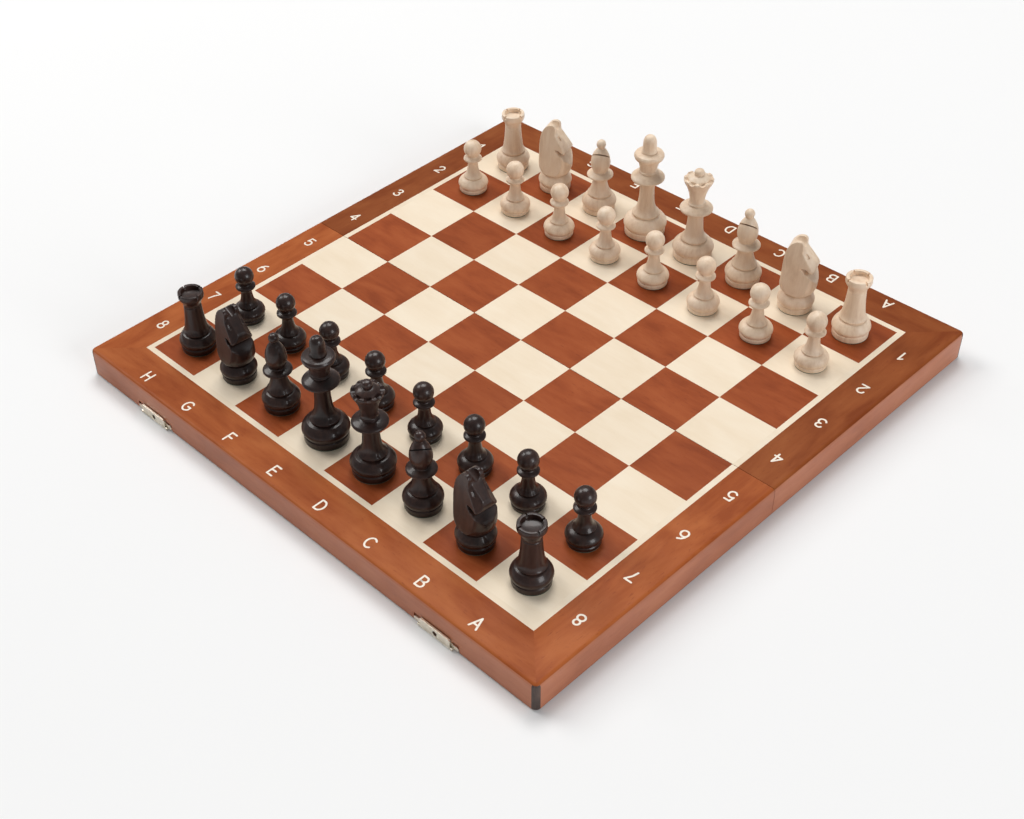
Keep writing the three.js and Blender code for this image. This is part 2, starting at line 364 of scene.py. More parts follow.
# Very dark wood for the narrow posts at the rounded upright corners of the case
darkCornerWood = {
    "dark": (0.035, 0.02, 0.015), "middle": (0.06, 0.034, 0.026), "light": (0.095, 0.055, 0.04),
    "pore": (0.02, 0.012, 0.01), "pores": 0.5, "figure": 0.5, "figureScale": 300,
    "streakScale": 700, "poreScale": 2200, "spread": 0.05, "grain": "z",
    "roughness": 0.55, "coat": 0.1, "coatRoughness": 0.35, "specular": 0.5, "relief": 0.25,
}
boxwood = {
    "dark": (0.69, 0.50, 0.345), "middle": (0.79, 0.61, 0.445), "light": (0.85, 0.69, 0.53),
    "pore": (0.5, 0.34, 0.22), "pores": 0.3, "figure": 0.5, "figureScale": 70,
    "streakScale": 330, "poreScale": 2400, "spread": 0.05, "grain": "z", "men": True,
    "roughness": 0.47, "coat": 0.12, "coatRoughness": 0.35, "specular": 0.5, "relief": 0.12,
}
ebonised = {
    "dark": (0.013, 0.0052, 0.004), "middle": (0.024, 0.0098, 0.0072), "light": (0.043, 0.019, 0.0135),
    "pore": (0.01, 0.0048, 0.0036), "pores": 0.4, "figure": 0.45, "figureScale": 60,
    "streakScale": 330, "poreScale": 2400, "spread": 0.14, "grain": "z", "men": True,
    "roughness": 0.4, "coat": 0.34, "coatRoughness": 0.14, "specular": 0.28, "relief": 0.1,
}

darkSquareWood = woodFinish("mahogany square", mahogany)
lightSquareWood = woodFinish("maple square", maple)
# Painted shade: each half's border is a darkened copy of the same wood, White's (the far half) much more,
# standing in for the light and sheen it loses
borderPaintedShades = {"white": 0.64, "black": 0.93}
borderFinish = {}
for side, shade in borderPaintedShades.items():
    tones = {part: tuple(value * shade for value in borderWood[part]) for part in ("dark", "middle", "light")}
    across = {**borderWood, **tones}
    borderFinish[side] = (woodFinish(f"{side} border across", across),
                          woodFinish(f"{side} border along", {**across, "grain": "y"}))
wallAcross = woodFinish("wall across", wallWood)
wallAlong = woodFinish("wall along", {**wallWood, "grain": "y"})
cornerWood = woodFinish("corner end grain", darkCornerWood)
whiteWood = woodFinish("boxwood", boxwood)
blackWood = woodFinish("ebonised wood", ebonised)


# Cream paint of the coordinates, worn a little thin in places
def paintFinish():
    finish, tree, shader = newFinish("cream paint")
    place = put(tree, "TexCoord").outputs["Object"]
    thin = grainAt(tree, place, 900, 3)
    colour = blend(tree, between(tree, thin, 0.3, 0.7), rgb((0.80, 0.70, 0.57)), rgb((0.90, 0.83, 0.72)))
    tree.links.new(colour, shader.inputs["Base Color"])
    tree.links.new(between(tree, thin, 0.3, 0.7, 0.5, 0.38), shader.inputs["Roughness"])
    bump = put(tree, "Bump", {"Height": thin, "Strength": 0.15, "Distance": 0.0001})
    tree.links.new(bump.outputs["Normal"], shader.inputs["Normal"])
    return finish


# Nickel plate: faint brushing along the plate and dull patches
def nickelFinish():
    finish, tree, shader = newFinish("nickel plate", Metallic=1.0, Anisotropic=0.3)
    place = put(tree, "TexCoord").outputs["Object"]
    brushed = grainAt(tree, stretched(tree, place, (0.05, 1, 1)), 2600, 3)
    dull = grainAt(tree, place, 160, 4)
    colour = blend(tree, between(tree, dull, 0.35, 0.7), rgb((0.86, 0.80, 0.69)), rgb((0.72, 0.65, 0.53)))
    tree.links.new(colour, shader.inputs["Base Color"])
    rough = total(tree, between(tree, dull, 0.3, 0.7, 0.2, 0.36), total(tree, brushed, 0.12, "MULTIPLY"))
    tree.links.new(rough, shader.inputs["Roughness"])
    bump = put(tree, "Bump", {"Height": brushed, "Strength": 0.12, "Distance": 0.00006})
    tree.links.new(bump.outputs["Normal"], shader.inputs["Normal"])
    return finish


# Green felt: short fibres with lighter tips
def feltFinish(name, base, tip):
    finish, tree, shader = newFinish(name, Roughness=0.95, Sheen_Weight=0.5, Sheen_Roughness=0.5)
    place = put(tree, "TexCoord").outputs["Object"]
    fibres = grainAt(tree, place, 1900, 5, 0.75, 1.5)
    patches = grainAt(tree, place, 130, 3)
    thickness = between(tree, patches, 0.2, 0.8, 0.6, 1.1)
    amount = total(tree, between(tree, fibres, 0.35, 0.7), thickness, "MULTIPLY")
    tree.links.new(blend(tree, amount, rgb(base), rgb(tip)), shader.inputs["Base Color"])
    bump = put(tree, "Bump", {"Height": fibres, "Strength": 0.7, "Distance": 0.0004})
    tree.links.new(bump.outputs["Normal"], shader.inputs["Normal"])
    return finish


creamPaint = paintFinish()
nickel = nickelFinish()
felt = feltFinish("green felt", (0.022, 0.05, 0.024), (0.06, 0.12, 0.055))
liningFelt = feltFinish("lining felt", (0.02, 0.045, 0.022), (0.055, 0.11, 0.05))
print("finishes mixed")


# Fitting pieces to the frame
def fit(name, mesh, finish, body, replaced=(), place=(0, 0, 0), spin=0):
    if not mesh.materials:
        mesh.materials.append(finish)
    piece = loose(name, mesh, place, spin)
    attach(piece, body)
    if replaced:
        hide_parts(*replaced)
    return piece


# Gives each separate block of a mesh its own place in the wood and its own tone
def cutFrom(mesh, blocks):
    mesh.attributes.new("cut", "FLOAT_VECTOR", "POINT")
    mesh.attributes.new("tone", "FLOAT", "POINT")
    cut, tone = mesh.attributes["cut"], mesh.attributes["tone"]
    share = len(mesh.vertices) // blocks
    for block in range(blocks):
        shift = Vector([chance.uniform(-1, 1) for _ in range(3)])
        shade = chance.random()
        last = len(mesh.vertices) if block == blocks - 1 else (block + 1) * share
        for i in range(block * share, last):
            cut.data[i].vector = shift
            tone.data[i].value = shade
    return mesh


def soften(piece, width):
    bevel = piece.modifiers.new("softened edges", "BEVEL")
    bevel.width = width * mm
    bevel.segments = 2
    bevel.limit_method = "ANGLE"
    bevel.angle_limit = math.radians(35)


# The two halves of the case
case = {
    "square": 50,
    "inlay": 4.5,  # width of the light line round the field
    "veneer": 1.2,  # thickness of squares, line and border
    "edge": 3,  # rounding of the outer top edge
    "corner": 4,  # upright corners of the case
    "mortise": 1.6,  # depth of the mortises for the clasps
    "mortiseGap": 0.4,  # between a mortise and what lies in it
    "studHeight": 4.3,  # middle of a clasp's stud
    "studHole": 1.9,  # radius of the holes that take it
}
field = 4 * case["square"]
inlayEdge = field + case["inlay"]
veneerLow = boardTop - case["veneer"]


# Everything below is drawn for White's half; Black's half is the same turned half a turn
def halfTurn(mesh, side):
    if side == "black":
        mesh.transform(Matrix.Rotation(math.pi, 4, "Z"))
    return mesh


def squares(shade):
    size = case["square"]
    corners, faces = [], []
    for row in range(4):
        for column in range(8):
            if (row + column) % 2 == shade:
                continue
            x = -field + column * size
            y = row * size
            block = slab("block", rectangle(x, x + size, max(y, seam), y + size), veneerLow, boardTop)
            first = len(corners)
            corners += [vertex.co / mm for vertex in block.vertices]
            faces += [tuple(first + i for i in polygon.vertices) for polygon in block.polygons]
            bpy.data.meshes.remove(block)
    return makeMesh("squares", corners, faces)


# The outside of the whole case, its top edge rounded; walls and border are trimmed to it
def trimmed(mesh):
    edge = case["edge"]
    levels = [(0, rim - 1)]
    for step in range(7):
        angle = math.pi / 12 * step
        levels.append((edge * (1 - math.cos(angle)), boardTop - edge + edge * math.sin(angle)))
    corners = []
    for inset, z in levels:
        reach = boardHalf - inset
        outline = roundedRectangle(-reach, reach, -reach, reach, case["corner"] - inset, 8)
        corners += [(x, y, z) for x, y in outline]
    count = len(outline)
    top = len(corners) - count
    faces = [tuple(range(count))[::-1], tuple(range(top, top + count))]
    for first in range(0, top, count):
        for i in range(count):
            j = (i + 1) % count
            faces.append((first + i, first + j, first + count + j, first + count + i))
    shell = makeMesh("shell", corners, faces)
    return crisp(carve(mesh, [shell], "INTERSECT", "MANIFOLD"), 40)


def mortises(side, nodes, depth):
    tools = []
    gap = case["mortiseGap"]
    for node in nodes:
        low, high = boxOf(node)
        x0, x1 = (low.x, high.x) if side == "white" else (-high.x, -low.x)
        outline = roundedRectangle(x0 - gap, x1 + gap, rim - 3, high.z + gap, 0.8)
        tools.append(uprightSlab("mortise", outline, *depth))
    return tools


def studHoles(nodes):
    tools = []
    for node in nodes:
        low, high = boxOf(node)
        hole = circle(-(low.x + high.x) / 2, case["studHeight"], case["studHole"])
        tools.append(uprightSlab("hole", hole, boardHalf - 6, boardHalf + 3))
    return tools


# One wooden piece of a half, with its grain, turned to its side and fitted
def joinWood(side, part, mesh, finish, replaced=(), blocks=1):
    mesh = halfTurn(cutFrom(mesh, blocks), side)
    fit(side + part, mesh, finish, f"{side}_half", [f"{side}_{node}" for node in replaced])


def mirrored(plan, sign):
    return [(sign * x, y) for x, y in plan]


far = boardHalf + 1  # walls and border start this wide and are trimmed
near = boardHalf - case["corner"]
inside = wallInside - 0.05
plans = {
    "line": [(field, seam), (inlayEdge, seam), (inlayEdge, inlayEdge), (-inlayEdge, inlayEdge),
             (-inlayEdge, seam), (-field, seam), (-field, field), (field, field)],
    "endBorder": [(-inlayEdge, inlayEdge), (inlayEdge, inlayEdge), (far, far), (-far, far)],
    "sideBorder": [(inlayEdge, seam), (far, seam), (far, far), (inlayEdge, inlayEdge)],
    "core": rectangle(-inside, inside, seam + wallThickness + 0.05, inside),
    "endWall": [(-near, far), (-near, near), (-wallInside, wallInside), (wallInside, wallInside),
                (near, near), (near, far)],
    "foldWall": rectangle(-wallInside, wallInside, seam, seam + wallThickness),
    "sideWall": [(far, seam), (far, near), (near, near), (wallInside, wallInside), (wallInside, seam)],
    "corner": [(near, near), (far, near), (far, far), (near, far)],
}

for side, plus, minus in (("white", "a", "h"), ("black", "h", "a")):
    borderAcross, borderAlong = borderFinish[side]
    joinWood(side, "DarkSquares", squares(1), darkSquareWood, ["playing_panel"], 16)
    joinWood(side, "LightSquares", squares(0), lightSquareWood, (), 16)
    line = slab("line", plans["line"], veneerLow, boardTop)
    joinWood(side, "InlaidLine", line, lightSquareWood)

    # The border veneers, mitred at the corners
    strip = trimmed(slab("strip", plans["endBorder"], veneerLow, boardTop + 1))
    joinWood(side, "EndBorder", strip, borderAcross)
    for letter, sign in ((plus, 1), (minus, -1)):
        strip = trimmed(slab("strip", mirrored(plans["sideBorder"], sign), veneerLow, boardTop + 1))
        joinWood(side, f"{letter.upper()}Border", strip, borderAlong)

    # Core board under the veneers, inside the walls
    core = slab("core", plans["core"], panelUnderside, veneerLow)
    joinWood(side, "PanelCore", core, borderAcross)

    # Walls, mitred at the outer corners
    fittings = "strike" if side == "white" else "base"
    hardware = [f"{letter}_clasp_{fittings}" for letter in "ah"]
    tools = mortises(side, hardware, (boardHalf - case["mortise"], boardHalf + 3))
    if side == "black":
        tools += studHoles(hardware)
    wall = carve(trimmed(slab("wall", plans["endWall"], rim, veneerLow)), tools)
    joinWood(side, "EndWall", crisp(wall), wallAcross, ["end_wall"])

    leaves = [f"{letter}_hinge_{side}_leaf" for letter in "ah"]
    leafReach = boxOf("a_hinge_white_leaf")[1].y + case["mortiseGap"]
    tools = mortises(side, leaves, (seam - 3, leafReach))
    wall = carve(slab("wall", plans["foldWall"], rim, veneerLow), tools)
    joinWood(side, "FoldWall", crisp(wall), wallAcross, ["fold_wall"])

    for letter, sign in ((plus, 1), (minus, -1)):
        wall = trimmed(slab("wall", mirrored(plans["sideWall"], sign), rim, veneerLow))
        joinWood(side, f"{letter.upper()}Wall", wall, wallAlong, [f"{letter}_side_wall"])
        post = trimmed(slab("post", mirrored(plans["corner"], sign), rim, veneerLow))
        joinWood(side, f"{letter.upper()}Corner", post, cornerWood)

    for node, finish in ((f"{side}_lining", liningFelt), (f"{side}_divider", wallAlong)):
        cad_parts[node].data.materials.clear()
        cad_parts[node].data.materials.append(finish)
    soften(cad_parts[f"{side}_divider"], 0.5)
print("case joined")


# The coordinates, painted on the border
lettering = {
    "height": 9.4, "stroke": 1.5, "raised": 0.07,
    "letterRow": 224.3, "digitRow": 218.6,  # from the middle of the board
    "spread": 1.018,  # the digits stand a little wider than their squares
}


def bow(x, y, wide, tall, first, last, steps=18):
    points = []
    for step in range(steps + 1):
        angle = math.radians(first + (last - first) * step / steps)
        points.append((x + wide * math.cos(angle), y + tall * math.sin(angle)))
    return points


# Strokes of each sign in a box one high, from the middle of its foot
signs = {
    "A": [[(-0.33, 0), (0, 1)], [(0, 1), (0.33, 0)], [(-0.22, 0.33), (0.22, 0.33)]],
    "B": [[(-0.27, 0), (-0.27, 1)], [(-0.27, 1), *bow(0.02, 0.76, 0.24, 0.24, 90, -90), (-0.27, 0.52)],
          [(-0.27, 0.52), *bow(0.04, 0.26, 0.27, 0.26, 90, -90), (-0.27, 0)]],
    "C": [bow(0.04, 0.5, 0.37, 0.5, 48, 312)],
    "D": [[(-0.29, 0), (-0.29, 1)], [(-0.29, 1), *bow(-0.06, 0.5, 0.38, 0.5, 90, -90), (-0.29, 0)]],
    "E": [[(0.26, 1), (-0.26, 1)], [(-0.26, 1), (-0.26, 0)], [(-0.26, 0), (0.26, 0)],
          [(-0.26, 0.52), (0.2, 0.52)]],
    "F": [[(0.26, 1), (-0.26, 1)], [(-0.26, 1), (-0.26, 0)], [(-0.26, 0.52), (0.2, 0.52)]],
    "G": [bow(0.02, 0.5, 0.38, 0.5, 48, 330), [(0.35, 0.2), (0.35, 0.47)], [(0.35, 0.47), (0.06, 0.47)]],
    "H": [[(-0.3, 0), (-0.3, 1)], [(0.3, 0), (0.3, 1)], [(-0.3, 0.52), (0.3, 0.52)]],
    "1": [[(-0.18, 0.76), (0.08, 1)], [(0.08, 1), (0.08, 0)]],
    "2": [[*bow(0, 0.71, 0.28, 0.29, 170, -38), (-0.29, 0)], [(-0.29, 0), (0.3, 0)]],
    "3": [bow(-0.01, 0.76, 0.25, 0.24, 160, -90), bow(0, 0.27, 0.29, 0.27, 90, -160)],
    "4": [[(0.13, 0), (0.13, 1)], [(0.13, 1), (-0.31, 0.3)], [(-0.31, 0.3), (0.31, 0.3)]],
    "5": [[(0.24, 1), (-0.2, 1)], [(-0.2, 1), (-0.25, 0.53)],
          [(-0.25, 0.53), *bow(0, 0.32, 0.29, 0.32, 120, -150)]],
    "6": [bow(0, 0.31, 0.29, 0.31, 0, 360, 26), [(-0.285, 0.36), (-0.24, 0.62), (-0.08, 0.87), (0.14, 1)]],
    "7": [[(-0.29, 1), (0.29, 1)], [(0.29, 1), (0.02, 0.5), (-0.09, 0)]],
    "8": [bow(0, 0.76, 0.23, 0.24, 0, 360, 24), bow(0, 0.27, 0.29, 0.27, 0, 360, 26)],
}


# A stroke of paint: a low rounded ridge along the points, with round ends
def stroke(points, corners, faces):
    half = lettering["stroke"] / 2
    arc = [math.pi * i / 8 for i in range(9)]
    line = [Vector((x, y)) * lettering["height"] for x, y in points]
    rows = []
    for i, point in enumerate(line):
        ahead = (line[min(i + 1, len(line) - 1)] - line[max(i - 1, 0)]).normalized()
        if i == 0:
            rows += [(point - ahead * half * math.sin(a), ahead, math.cos(a)) for a in (1.5, 1.1, 0.6)]
        rows.append((point, ahead, 1))
        if i == len(line) - 1:
            rows += [(point + ahead * half * math.sin(a), ahead, math.cos(a)) for a in (0.6, 1.1, 1.5)]
    first = len(corners)
    for centre, ahead, size in rows:
        across = Vector((-ahead.y, ahead.x)) * half * size
        for a in arc:
            where = centre + across * math.cos(a)
            corners.append((where.x, where.y, lettering["raised"] * size * math.sin(a)))
    width = len(arc)
    for row in range(len(rows) - 1):
        for i in range(width - 1):
            a = first + row * width + i
            faces.append((a, a + 1, a + 1 + width, a + width))
        a = first + row * width
        faces.append((a + width - 1, a, a + width, a + 2 * width - 1))
    faces.append(tuple(range(first, first + width)))
    last = first + (len(rows) - 1) * width
    faces.append(tuple(range(last + width - 1, last - 1, -1)))


def writeSigns(name, body, wanted):
    corners, faces = [], []
    for sign, x, y, upsideDown in wanted:
        flip = -1 if upsideDown else 1
        own, ownFaces = [], []
        for points in signs[sign]:
            stroke(points, own, ownFaces)
        first = len(corners)
        drop = lettering["height"] / 2
        corners += [(x + flip * cx, y + flip * (cy - drop), boardTop - 0.01 + cz) for cx, cy, cz in own]
        faces += [tuple(first + i for i in face) for face in ownFaces]
    fit(name, crisp(makeMesh(name, corners, faces), 60), creamPaint, body)


for side, ranks in (("white", "1234"), ("black", "5678")):
    sign = 1 if side == "white" else -1
    wanted = []
    for file, letter in enumerate("ABCDEFGH"):
        x = (3.5 - file) * case["square"]
        wanted.append((letter, x, sign * lettering["letterRow"], side == "white"))
    for digit in ranks:
        y = (4.5 - int(digit)) * case["square"] * lettering["spread"]
        wanted.append((digit, lettering["digitRow"], y, True))
        wanted.append((digit, -lettering["digitRow"], y, False))
    writeSigns(f"{side}Coordinates", f"{side}_half", wanted)
print("coordinates painted")


def rod(radius, x0, x1, y, z, steps=32):
    return longSlab("rod", circle(y, z, radius, steps), x0, x1)


def joinMeshes(meshes):
    whole = bmesh.new()
    for mesh in meshes:
        whole.from_mesh(mesh)
        bpy.data.meshes.remove(mesh)
    result = bpy.data.meshes.new("joined")
    whole.to_mesh(result)
    whole.free()
    return result


# A countersunk screw head with its slot, facing along the direction given
def screwHead(place, facing, radius):
    profile = [(radius * 0.6, -0.6), (radius, 0), (radius * 0.93, 0.1, 1), (radius * 0.6, 0.22, 1), (0, 0.28)]
    long, half = radius * 1.2, radius * 0.13
    slot = slab("slot", rectangle(-long, long, -half, half), -0.12, 1)
    slot.transform(Matrix.Rotation(chance.uniform(0, 3), 4, "Z"))
    mesh = carve(turned("screw", profile, 28), [slot])
    mesh.transform(Vector((0, 0, 1)).rotation_difference(Vector(facing)).to_matrix().to_4x4())
    mesh.transform(Matrix.Translation(Vector(place) * mm))
    return mesh


# Fold hinges: leaves let into the rims, the knuckles of both on one pin
hinge = {
    "inset": 0.05, "thickness": 1, "corner": 1.2,  # the leaf, let into the rim
    "barrelGap": 0.3, "middleHalf": 4.7, "knuckleGap": 0.3, "clearance": 0.02,
    "screwRadius": 1.65, "screwSpacing": 10, "screwLine": 5.6, "screwSunk": 0.36, "seatGap": 0.12,
    "pinChamfer": 0.35,
}


def hingeLeaf(node, side, axis):
    low, high = boxOf(node)
    middle = (low.x + high.x) / 2
    start = axis + hinge["barrelGap"]
    end = max(abs(low.y), abs(high.y))
    cut = hinge["corner"]
    plate = (rim + hinge["inset"], rim + hinge["inset"] + hinge["thickness"])
    outline = [(low.x, start), (high.x, start), (high.x, end - cut), (high.x - cut, end),
               (low.x + cut, end), (low.x, end - cut)]
    reach = hinge["middleHalf"]
    spans = [(middle - reach, middle + reach)]
    if side == "black":
        reach += hinge["knuckleGap"]
        spans = [(low.x, middle - reach), (middle + reach, high.x)]
    knuckles = []
    for x0, x1 in spans:
        knuckles.append(rod(axis - hinge["clearance"], x0, x1, 0, axis))
        knuckles.append(slab("web", rectangle(x0, x1, 0.2, start + 0.5), *plate))
    leaf = carve(slab("leaf", outline, *plate), knuckles, "UNION")
    # the screws sit sunk in the leaf, so that two closed leaves clear each other
    spots = [(middle + step * hinge["screwSpacing"], hinge["screwLine"]) for step in (-1, 0, 1)]
    seatRadius = hinge["screwRadius"] + hinge["seatGap"]
    leaf = carve(leaf, [slab("seat", circle(*spot, seatRadius), rim - 1, rim + 0.4) for spot in spots])
    heads = [screwHead((*spot, rim + hinge["screwSunk"]), (0, 0, -1), hinge["screwRadius"]) for spot in spots]
    mesh = joinMeshes([leaf] + heads)
    if side == "black":
        mesh.transform(Matrix.Scale(-1, 4, (0, 1, 0)))
    return crisp(mesh)


def hingePin(low, high, axis):
    radius = (high.z - low.z) / 2
    length = high.x - low.x
    tip = hinge["pinChamfer"]
    profile = [(radius * 0.6, 0), (radius, tip), (radius, length - tip), (radius * 0.6, length)]
    mesh = crisp(turned("pin", profile, 24))
    mesh.transform(Matrix.Translation(Vector((low.x, 0, axis)) * mm) @ Matrix.Rotation(math.pi / 2, 4, "Y"))
    return mesh


for letter in "ah":
    pinLow, pinHigh = boxOf(f"{letter}_hinge_pin")
    axis = (pinLow.z + pinHigh.z) / 2
    for side in ("white", "black"):
        node = f"{letter}_hinge_{side}_leaf"
        name = f"{letter}Hinge{side.capitalize()}Leaf"
        fit(name, hingeLeaf(node, side, axis), nickel, f"{side}_half", [node])
    pin = hingePin(pinLow, pinHigh, axis)
    fit(f"{letter}HingePin", pin, nickel, "black_half", [f"{letter}_hinge_pin"])

# Clasps: a base plate and a flap on Black's end wall, a strike with a stud on White's
clasp = {
    "wide": 14, "proud": 0.4, "earTop": 5.4, "top": 7.2,  # the plates
    "baseFeet": (rim + 0.3, 2.3), "strikeFeet": (2.6, 2.6),  # bottoms of the ears and of the middle
    "nailRadius": 1.2, "nailHeight": 3.7, "nailIn": 3.1,
    "axisOut": 1.1, "axisHeight": 1.3, "lugRadius": 1.1, "lugLength": 2,
    "flapHalf": 13.7, "rollRadius": 0.95, "pinRadius": 0.5, "pinReach": 1.9,
    "flapTop": 9.4, "flapCorner": 1.4,
    "stud": [(1.3, -0.5), (1.3, 0.9), (1.25, 1.35, 1), (0.9, 1.68, 1), (0, 1.79)],
}
plateFace = boardHalf + clasp["proud"]
flapAxis = (boardHalf + clasp["axisOut"], clasp["axisHeight"])


def plateOutline(middle, half, earBottom, middleBottom):
    wide, earTop, top = clasp["wide"], clasp["earTop"], clasp["top"]
    right = [(wide, middleBottom), (wide, earBottom), (half - 1.3, earBottom), (half, earBottom + 1.2),
             (half, earTop - 1.2), (half - 1.2, earTop), (wide + 1.2, earTop), (wide, earTop + 0.8),
             (wide, top - 0.5), (wide - 0.5, top)]
    left = [(-x, z) for x, z in reversed(right)]
    return [(middle + x, z) for x, z in right + left]


def claspPlate(node, side):
    low, high = boxOf(node)
    middle = (low.x + high.x) / 2 * (1 if side == "white" else -1)
    half = (high.x - low.x) / 2
    feet = clasp["baseFeet"] if side == "black" else clasp["strikeFeet"]
    back = boardHalf - case["mortise"] + 0.05
    plate = uprightSlab("plate", plateOutline(middle, half, *feet), back, plateFace)
    if side == "black":
        lugs = []
        for sign in (-1, 1):
            start = middle + sign * clasp["wide"]
            ends = sorted((start, start + sign * clasp["lugLength"]))
            lugs.append(rod(clasp["lugRadius"], *ends, *flapAxis))
            lugs.append(longSlab("web", rectangle(plateFace - 0.8, *flapAxis, 2.3), *ends))
        plate = carve(plate, lugs, "UNION")
        hole = circle(middle, case["studHeight"], case["studHole"], 36)
        plate = carve(plate, [uprightSlab("hole", hole, boardHalf - 4, plateFace + 1)])
    parts = [plate]
    for sign in (-1, 1):
        place = (middle + sign * (half - clasp["nailIn"]), plateFace - 0.05, clasp["nailHeight"])
        parts.append(screwHead(place, (0, 1, 0), clasp["nailRadius"]))
    if side == "white":
        stud = turned("stud", clasp["stud"], 28)
        stud.transform(Matrix.Translation(Vector((middle, plateFace, case["studHeight"])) * mm)
                       @ Matrix.Rotation(-math.pi / 2, 4, "X"))
        parts.append(stud)
    return halfTurn(crisp(joinMeshes(parts)), side)


# The flap: a plate rolled round its pin at the foot, with a hole and an outturned lip
def claspFlap(node):
    low, high = boxOf(node)
    middle = -(low.x + high.x) / 2
    reach = clasp["flapHalf"]
    axisY, axisZ = flapAxis
    outer = axisY + 0.5
    top = clasp["flapTop"]
    section = [(outer, axisZ + 0.2), (outer, top - 1.2, 1), (outer + 0.1, top - 0.9, 1),
               (outer + 0.42, top - 0.68), (outer + 0.5, top - 0.4, 1), (outer + 0.42, top - 0.1),
               (outer - 0.2, top), (outer - 1, top - 0.1), (outer - 1, axisZ + 0.2)]
    plate = longSlab("flap", flowing(section, 4), middle - reach, middle + reach)
    roll = rod(clasp["rollRadius"], middle - reach, middle + reach, *flapAxis)
    hole = circle(middle, case["studHeight"], case["studHole"], 36)
    tools = [uprightSlab("hole", hole, boardHalf, outer + 3)]
    for sign in (-1, 1):
        beyond = middle + sign * (reach + 1)
        within = middle + sign * (reach - clasp["flapCorner"])
        corner = [(beyond, top + 0.5), (within, top + 0.5), (beyond, top - 2)]
        tools.append(uprightSlab("corner", corner, boardHalf, outer + 3))
    flap = carve(carve(plate, [roll], "UNION"), tools)
    end = reach + clasp["pinReach"]
    pin = rod(clasp["pinRadius"], middle - end, middle + end, *flapAxis, 20)
    return halfTurn(crisp(joinMeshes([flap, pin])), "black")


for letter in "ah":
    for side, kind in (("black", "base"), ("white", "strike")):
        node = f"{letter}_clasp_{kind}"
        name = f"{letter}Clasp{kind.capitalize()}"
        fit(name, claspPlate(node, side), nickel, f"{side}_half", [node])
    node = f"{letter}_clasp_flap"
    soften(fit(f"{letter}ClaspFlap", claspFlap(node), nickel, node, [node]), 0.12)
print("hinges and clasps fitted")


